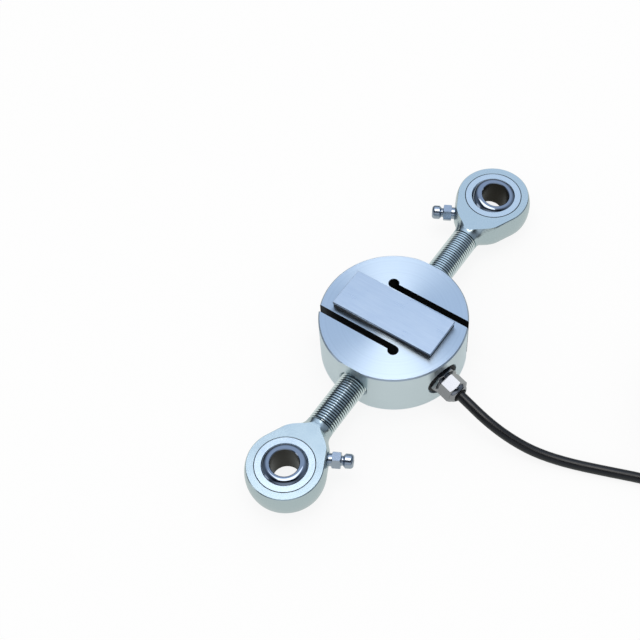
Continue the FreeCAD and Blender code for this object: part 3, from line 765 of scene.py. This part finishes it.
@dataclass
class RodEnd:
    """One spherical rod end, screwed into the cell. Its sizes are in millimetres.

    Attributes:
        side: which of the two it is.
        lean: how far its ball leans about X, in degrees.
    """

    side: Side
    lean: float = 0.0
    ball_radius: float = 11.9
    ball_half_width: float = 7.94
    bore_radius: float = 6.35
    bore_chamfer: float = 0.3
    shoulder_radius: float = 3.0    # the rounding between the ball's ends and its sphere
    shoulder_steps: int = 10
    ball_steps: int = 28
    race_radius: float = 13.1
    race_gap: float = 0.06
    race_steps: int = 20
    half_thickness: float = 6.35
    stake: float = 0.22
    thread_crest: float = 6.3
    thread_pitch: float = 1.27      # twenty threads to the inch
    thread_start: float = 25.3      # from the head's centre, where the neck's fillet ends
    thread_end: float = 61.9
    thread_fade: float = 1.0
    head_overlap: float = 0.3       # how far the head's neck reaches into the thread
    spring_margin: float = 1.1      # the spring shortens by a little more than the ball travels

    def arc(self, radius: float, low: float, high: float, steps: int) -> list[tuple[float, float]]:
        """Works out points on a sphere's outline.

        Args:
            radius: the sphere's radius.
            low: the height of the first point.
            high: the height of the last point.
            steps: how many runs the arc has.

        Returns:
            (radius, height) points, both ends included.
        """
        first, last = math.asin(low / radius), math.asin(high / radius)
        angles = [first + (last - first) * i / steps for i in range(steps + 1)]
        return [(radius * math.cos(a), radius * math.sin(a)) for a in angles]

    def ball_outline(self) -> tuple[list[tuple[float, float]], int]:
        """Works out the ball's outline, with its shoulders rounded.

        Returns:
            The (radius, height) points and the number of the run along the bore.
        """
        w, chamfer, round_off = self.ball_half_width, self.bore_chamfer, self.shoulder_radius
        middle = (math.sqrt((self.ball_radius - round_off) ** 2 - (w - round_off) ** 2), w - round_off)
        lean = math.atan2(middle[1], middle[0])
        edge = self.ball_radius * math.sin(lean)
        steps = self.shoulder_steps
        angles = [lean + (math.pi / 2 - lean) * i / steps for i in range(1, steps + 1)]
        shoulder = [(middle[0] + round_off * math.cos(a), middle[1] + round_off * math.sin(a))
                    for a in angles]
        upper = shoulder + [(self.bore_radius + chamfer, w), (self.bore_radius, w - chamfer)]
        lower = [(radius, -height) for radius, height in reversed(upper)]
        outside = self.arc(self.ball_radius, -edge, edge, self.ball_steps)
        return outside + upper + lower, len(outside) + len(upper) - 1

    def valve_spring(self) -> None:
        """Makes the spring behind the check ball: a smooth copy, dressed, with its own mesh."""
        prefix = self.side.value[0]
        spring = smooth_copy(f"{prefix}_check_spring", f"{prefix}_valve_spring")
        SPRING_STEEL.dress(spring)
        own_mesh(spring)

    def head(self) -> None:
        """Cuts the shank off the smooth head and winds the threaded one in its place."""
        prefix, centre, turn = self.side.value
        toward_cell = 1.0 if centre < 0 else -1.0
        head = smooth_copy(f"{prefix}_rod_end", f"{prefix}_head",
                           cut_past=centre + toward_cell * (self.thread_start + self.head_overlap) * MM)
        ZINC_STEEL.dress(head)
        thread = Thread(crest=self.thread_crest * MM, pitch=self.thread_pitch * MM,
                        length=(self.thread_end - self.thread_start) * MM, fade=self.thread_fade * MM)
        start = Matrix.Translation((centre + toward_cell * self.thread_start * MM, 0, AXIS_HEIGHT))
        wound = thread.wind(f"{prefix}_shank_thread", start @ Matrix.Rotation(turn, 4, "Z"), THREAD_ZINC)
        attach(wound, f"{prefix}_eye")
        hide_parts(f"{prefix}_rod_end")

    def bearing(self) -> None:
        """Turns the race and the ball that leans in it."""
        prefix, centre, turn = self.side.value
        middle, millimetres = Matrix.Translation((centre, 0, AXIS_HEIGHT)), Matrix.Scale(MM, 4)
        h, inner = self.half_thickness, self.ball_radius + self.race_gap
        opening = self.arc(inner, h, -h, self.race_steps)
        outer = [(self.race_radius - self.stake, -h), (self.race_radius, self.stake - h),
                 (self.race_radius, h - self.stake), (self.race_radius - self.stake, h)]
        place = middle @ Matrix.Rotation(turn, 4, "Z") @ millimetres
        # The two staking chamfers get the near-black groove finish: painted shade.
        ring = Turning(opening + outer, marked=(len(opening), len(opening) + 2))
        race = ring.build(f"{prefix}_outer_race", place)
        RACE_STEEL.dress(race)
        GROOVE.dress(race, 1)
        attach(race, f"{prefix}_eye")
        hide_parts(f"{prefix}_race")

        outline, bore_run = self.ball_outline()
        place = middle @ Matrix.Rotation(math.radians(self.lean), 4, "X") @ millimetres
        ball = Turning(outline, marked=(bore_run,)).build(f"{prefix}_swivel_ball", place)
        BALL_STEEL.dress(ball)
        BORE_STEEL.dress(ball, 1)
        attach(ball, f"{prefix}_swivel")
        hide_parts(f"{prefix}_ball")

    def build(self) -> None:
        """Makes the head with its thread, the race, the ball and the grease fitting."""
        prefix = self.side.value[0]
        self.head()
        self.bearing()
        FITTING_ZINC.dress(smooth_copy(f"{prefix}_grease_fitting", f"{prefix}_grease_nipple"))
        BALL_STEEL.dress_node(f"{prefix}_check_ball")
        self.valve_spring()
        LOG.info("%s rod end: head, thread, race, ball, grease fitting and spring made", prefix)


# ---------------------------------------------------------------- cable

@dataclass
class SignalCable:
    """The cable: a lead from the gland, a neat coil held by a tie, and a tail with bare wire ends.

    Attributes:
        radius: the jacket's radius in millimetres.
        lead: the route from the gland to the coil, in millimetres.
        tail: the route from the coil to the end sleeve, in millimetres.
        coil_centre: the coil's centre on the floor.
        coil_radius: the radius at the middle of its turns.
        slots: the (row, column) of each turn in the coil's section, in winding order.
        points_per_turn: how many control points a turn has.
        entry_angle: the bearing, in degrees, at which the lead reaches the coil.
        entry_reach: how far from the coil's centre it is there.
        shift_start: the bearing at which each turn starts to move to its next slot.
        shift_end: the bearing at which it is there.
        drop_start: the bearing at which the last turn starts down to the floor.
        drop_end: the bearing at which it is there.
        exit_angle: the bearing at which the tail leaves.
        ripple: how far a hand-laid turn strays, in millimetres.
        ripples: how many strays go round.
        curve_order: the spline's order; 3 gives arcs that are smooth where they meet.
        steps_between: how many straight steps the curve has from one point to the next.
        bevel_steps: how finely the jacket is rounded.
    """

    radius: float = 2.3
    lead: list[Triple] = field(default_factory=lambda: [
        (-10.3, -36.6, 12.7), (-13.0, -46.2, 12.7), (-15.5, -57.0, 11.0), (-15.9, -68.5, 7.6),
        (-14.3, -80.8, 4.0), (-10.6, -94.2, 2.3), (-5.4, -109.2, 2.3), (1.0, -126.2, 2.3),
        (6.4, -144.4, 2.3)])
    tail: list[Triple] = field(default_factory=lambda: [
        (69.6, -183.0, 2.8), (78.5, -176.9, 2.8)])
    coil_centre: tuple[float, float] = (47.9, -149.3)
    coil_radius: float = 27.6
    slots: tuple[tuple[int, int], ...] = (
        (0, 3), (0, 2), (0, 1), (0, 0), (1, 0), (2, 0), (3, 0), (3, 1),
        (3, 2), (3, 3), (2, 3), (2, 2), (2, 1), (1, 1), (1, 2), (1, 3))
    points_per_turn: int = 16
    entry_angle: float = 186.0
    entry_reach: float = 39.1
    shift_start: float = 190.0
    shift_end: float = 300.0
    drop_start: float = 244.0
    drop_end: float = 303.0
    exit_angle: float = 292.0
    ripple: float = 0.1
    ripples: int = 12
    curve_order: int = 3
    steps_between: int = 4
    bevel_steps: int = 5

    def slot_place(self, slot: tuple[int, int]) -> tuple[float, float]:
        """Works out where a slot of the coil's section lies.

        Args:
            slot: its row from the floor up and its column from the inside out.

        Returns:
            The distance from the coil's axis and the height, in millimetres.
        """
        row, column = slot
        middle = max(column for _, column in self.slots) / 2
        return (self.coil_radius + (column - middle) * 2 * self.radius, self.radius + row * 2 * self.radius)

    def eased(self, angle: float, start: float, end: float) -> float:
        """Works out how far a change between two bearings has come.

        Args:
            angle: the bearing, in degrees.
            start: where the change starts.
            end: where it ends.

        Returns:
            0 before, 1 after, and evenly bent between.
        """
        share = min(max((angle - start) / (end - start), 0.0), 1.0)
        return 2 * share ** 2 if share < 0.5 else 1 - 2 * (1 - share) ** 2

    def coil_points(self) -> list[Triple]:
        """Works out the coil's control points: every turn moves on by one slot in the same stretch.

        Returns:
            The points in millimetres, from where the lead reaches the coil to where the tail leaves it.
        """
        places = [(self.entry_reach, self.radius)] + [self.slot_place(slot) for slot in self.slots]
        places.append((self.entry_reach, places[-1][1]))
        wander = random.Random(7)
        drift = [wander.uniform(-self.ripple, self.ripple) for _ in range(self.ripples)]
        step = 360 / self.points_per_turn
        inside = 0.75 + 0.25 * math.cos(math.radians(step))     # how far the curve cuts inside its points
        points = []
        angle, last = self.entry_angle, 360 * len(self.slots) + self.exit_angle
        while angle < last:
            turn = max(0, int((angle - self.shift_start) // 360))
            bearing = angle - 360 * turn
            share = self.eased(bearing, self.shift_start, self.shift_end)
            reach, height = (a + (b - a) * share for a, b in zip(places[turn], places[turn + 1]))
            if turn == len(self.slots):
                height += (self.tail[0][2] - height) * self.eased(bearing, self.drop_start, self.drop_end)
            place = (angle % 360) / (360 / self.ripples)
            before, after = (drift[(int(place) + i) % self.ripples] for i in (0, 1))
            reach = (reach + before * (1 - place % 1) + after * (place % 1)) / inside
            turned = math.radians(angle)
            points.append((self.coil_centre[0] + reach * math.cos(turned),
                           self.coil_centre[1] + reach * math.sin(turned), height))
            angle += step
        return points

    def measured(self, curve: Curve) -> float:
        """Measures a curve that has no thickness yet.

        Args:
            curve: the curve.

        Returns:
            Its length in metres.
        """
        line = bpy.data.objects.new("measured_line", curve)
        mesh = bpy.data.meshes.new_from_object(line)
        ends = [[mesh.vertices[i].co for i in edge.vertices] for edge in mesh.edges]
        length = sum((first - second).length for first, second in ends)
        bpy.data.objects.remove(line)
        bpy.data.meshes.remove(mesh)
        return length

    def build(self) -> None:
        route = [Vector(p) * MM for p in self.lead + self.coil_points() + self.tail]
        curve = bpy.data.curves.new("signal_cable", "CURVE")
        curve.dimensions = "3D"
        spline = curve.splines.new("NURBS")
        spline.points.add(len(route) - 1)
        for point, place in zip(spline.points, route):
            point.co = (*place, 1.0)
        spline.order_u = self.curve_order
        spline.use_endpoint_u = True
        spline.resolution_u = self.steps_between
        curve.resolution_u = self.steps_between
        length = self.measured(curve)
        curve.bevel_depth = self.radius * MM
        curve.bevel_resolution = self.bevel_steps
        curve.use_fill_caps = True
        cable = new_object("signal_cable", curve)
        JACKET.dress(cable)
        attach(cable, "cell")
        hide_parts("cable_lead", "cable_coil", "cable_tail")
        sleeve = smooth_copy("cable_end_sleeve", "end_sleeve")
        SHRINK.dress(sleeve)
        with_pieces = [sleeve]
        for node, finish in CONDUCTORS.items():
            finish.dress_node(node)
            with_pieces.append(frame["nodes"][node])
        TINNED.dress_node("shield_drain")
        TIE_NYLON.dress_node("cable_tie")
        with_pieces += [frame["nodes"]["shield_drain"], frame["nodes"]["cable_tie"]]
        LOG.info("cable: %.3f m, %d control points", length, len(route))


# ---------------------------------------------------------------- studio

@dataclass(frozen=True)
class Panel:
    """A soft bright or dark patch of the studio that polished metal shows.

    Attributes:
        azimuth: the bearing of its middle, anticlockwise from +X, in degrees.
        elevation: the height of its middle above the horizon, in degrees.
        wide: how far it reaches to each side, in degrees.
        tall: how far it reaches up and down, in degrees.
        core: the share of that reach over which it is even.
        colour: its colour.
    """

    azimuth: float
    elevation: float
    wide: float
    tall: float
    core: float
    colour: str

    def share(self, tree: NodeTree, way: NodeSocket) -> Node:
        """Adds the nodes for how much of the panel shows in a direction.

        Args:
            tree: the world's tree.
            way: the output socket with the direction.

        Returns:
            A node that gives 1 inside the panel, 0 outside and soft between.
        """
        add = functools.partial(add_node, tree)
        turn = (Matrix.Rotation(math.radians(self.azimuth), 3, "Z")
                @ Matrix.Rotation(-math.radians(self.elevation), 3, "Y"))
        aim, side, rise = (turn @ Vector(axis) for axis in ((1, 0, 0), (0, 1, 0), (0, 0, 1)))
        spans = (side / math.sin(math.radians(self.wide)), rise / math.sin(math.radians(self.tall)))
        off = [add("ShaderNodeVectorMath", {0: way, 1: span}, operation="DOT_PRODUCT") for span in spans]
        flat = add("ShaderNodeCombineXYZ", {0: off[0], 1: off[1]})
        far = add("ShaderNodeVectorMath", {0: flat}, operation="LENGTH")
        inside = add("ShaderNodeMapRange", {"Value": far, "From Min": self.core, "From Max": 1.0,
                                            "To Min": 1.0, "To Max": 0.0}, interpolation_type="SMOOTHSTEP")
        ahead = add("ShaderNodeVectorMath", {0: way, 1: aim}, operation="DOT_PRODUCT")
        front = add("ShaderNodeMath", {0: ahead, 1: 0.0}, operation="GREATER_THAN")
        return add("ShaderNodeMath", {0: inside, 1: front}, operation="MULTIPLY")


@dataclass
class Studio:
    """A plain pale floor, soft lamps and the camera.

    Attributes:
        floor_size: the length of the floor's side, in metres.
        floor_height: the floor's height, just clear of the cell's back face.
        floor_glow: how much of the floor's look is its own even white.
        paper: the floor's colour.
        mirrored_floor: its colour in reflections.
        sky: the colour of the world's light and of the background.
        world_light: the strength of the world's light.
        room: what polished metal shows where there is no panel.
        shine: the strength of what it shows.
        panels: the studio's patches, the later over the earlier.
        focal_length: the camera's, in millimetres, on a sensor 36 mm wide.
        stand: the camera's place, in millimetres.
        across: the direction to the right of the view.
        up: the direction to the top of the view.
    """

    floor_size: float = 8.0
    floor_height: float = -0.2 * MM
    floor_glow: float = 0.86
    paper: str = "#F6F6F6"
    world_light: float = 0.8
    sky: str = "#FFFFFF"
    mirrored_floor: str = "#D6DBD9"
    room: str = "#12161C"
    shine: float = 1.9
    panels: tuple[Panel, ...] = (
        Panel(303, 25, 65, 38, 0.3, "#5F6873"),     # three grey walls, which the faces show from low down
        Panel(213, 22, 70, 34, 0.3, "#8E96A0"),
        Panel(123, 25, 50, 34, 0.3, "#59626D"),
        Panel(25, 55, 65, 60, 0.25, "#A3B1C4"),     # the ceiling's soft blue light
        Panel(33, 87, 22, 22, 0.4, "#FFFAF0"),      # the softbox overhead
        Panel(140, 10, 14, 10, 0.5, "#C8CCD2"),     # a small lamp to the left
    )
    focal_length: float = 77.46
    stand: Triple = (-280.49, -185.44, 534.36)
    across: Triple = (0.5685, -0.8212, -0.0497)
    up: Triple = (0.7025, 0.4531, 0.5489)

    def floor(self) -> None:
        """Lays the floor, which shows near white to the camera and in reflections and keeps the shadow."""
        made = bmesh.new()
        half = self.floor_size / 2
        corners = ((-half, -half), (half, -half), (half, half), (-half, half))
        made.faces.new([made.verts.new((x, y, self.floor_height)) for x, y in corners])
        plane = finished("floor", made)
        backdrop = bpy.data.materials.new("white_backdrop_paper")
        backdrop.use_nodes = True
        tree = backdrop.node_tree
        tree.nodes.clear()
        add = functools.partial(add_node, tree)
        seen = self.seen_rays(tree)
        gloss = add("ShaderNodeLightPath").outputs["Is Glossy Ray"]
        tint = add("ShaderNodeMix", {0: gloss, 6: linear(self.sky), 7: linear(self.mirrored_floor)},
                   data_type="RGBA")
        matt = add("ShaderNodeBsdfDiffuse", {"Color": linear(self.paper)})
        glow = add("ShaderNodeEmission", {"Color": tint, "Strength": 1.0})
        share = add("ShaderNodeMath", {0: seen, 1: self.floor_glow}, operation="MULTIPLY")
        mixed = add("ShaderNodeMixShader", {0: share, 1: matt, 2: glow})
        add("ShaderNodeOutputMaterial", {"Surface": mixed})
        plane.data.materials.append(backdrop)

    def seen_rays(self, tree: NodeTree) -> Node:
        """Adds a value that marks the rays to which the floor shows its own white.

        Args:
            tree: the floor's tree.

        Returns:
            A node that gives 1 for rays from the camera, from gloss and through glass.
        """
        rays = add_node(tree, "ShaderNodeLightPath").outputs
        seen = rays["Is Camera Ray"]
        for name in ("Is Glossy Ray", "Is Transmission Ray"):
            seen = add_node(tree, "ShaderNodeMath", {0: seen, 1: rays[name]}, operation="MAXIMUM")
        return seen

    def world(self) -> None:
        """Sets the world: plain and soft for light, a lit studio for gloss, white behind the object."""
        world = bpy.data.worlds.new("studio")
        bpy.context.scene.world = world
        world.use_nodes = True
        tree = world.node_tree
        tree.nodes.clear()
        add = functools.partial(add_node, tree)
        rays = add("ShaderNodeLightPath").outputs
        way = add("ShaderNodeTexCoord").outputs["Generated"]
        colour = linear(self.room)
        for panel in self.panels:
            colour = add("ShaderNodeMix", {0: panel.share(tree, way), 6: colour, 7: linear(panel.colour)},
                         data_type="RGBA")
        lit = add("ShaderNodeBackground", {"Color": colour, "Strength": self.shine})
        plain = add("ShaderNodeBackground", {"Color": linear(self.sky), "Strength": self.world_light})
        white = add("ShaderNodeBackground", {"Color": linear(self.sky), "Strength": 1.0})
        gloss = add("ShaderNodeMixShader", {0: rays["Is Glossy Ray"], 1: plain, 2: lit})
        clear = add("ShaderNodeMath", {0: rays["Is Camera Ray"], 1: rays["Is Transmission Ray"]},
                    operation="MAXIMUM")
        seen = add("ShaderNodeMixShader", {0: clear, 1: gloss, 2: white})
        add("ShaderNodeOutputWorld", {"Surface": seen})

    def lamp(self, name: str, place: Triple, size: float, power: float) -> None:
        """Hangs a square soft lamp that faces the cell.

        Args:
            name: the lamp's name.
            place: where it hangs, in metres.
            size: the length of its side.
            power: its power in watts.
        """
        light = bpy.data.lights.new(name, "AREA")
        light.size = size
        light.energy = power
        lamp = new_object(name, light)
        lamp.location = place
        lamp.rotation_mode = "QUATERNION"
        lamp.rotation_quaternion = (-Vector(place)).to_track_quat("-Z", "Y")

    def camera(self) -> None:
        """Sets the camera above the near rod end, looking down along the load axis."""
        lens = bpy.data.cameras.new("view")
        lens.sensor_width = 36.0
        lens.lens = self.focal_length
        lens.clip_start, lens.clip_end = 0.01, 50.0
        camera = new_object("view", lens)
        across, up = Vector(self.across), Vector(self.up)
        back = across.cross(up).normalized()
        turn = Matrix((across, up, back)).transposed()
        camera.matrix_world = Matrix.Translation(Vector(self.stand) * MM) @ turn.to_4x4()
        bpy.context.scene.camera = camera

    def build(self) -> None:
        """Sets up the whole studio."""
        self.floor()
        self.world()
        self.lamp("overhead_softbox", place=(0.03, 0.02, 1.1), size=0.7, power=2.9)
        self.camera()
        bpy.context.scene.view_settings.view_transform = "Standard"
        LOG.info("studio: floor, world, lamps and camera set")


def main() -> None:
    logging.basicConfig(level=logging.INFO, format="%(name)s: %(message)s")
    Studio().build()
    Cell().build()
    Gland().build()
    RodEnd(Side.NEAR).build()
    RodEnd(Side.FAR, lean=9.0).build()
    SignalCable().build()


if __name__ == "__main__":
    main()
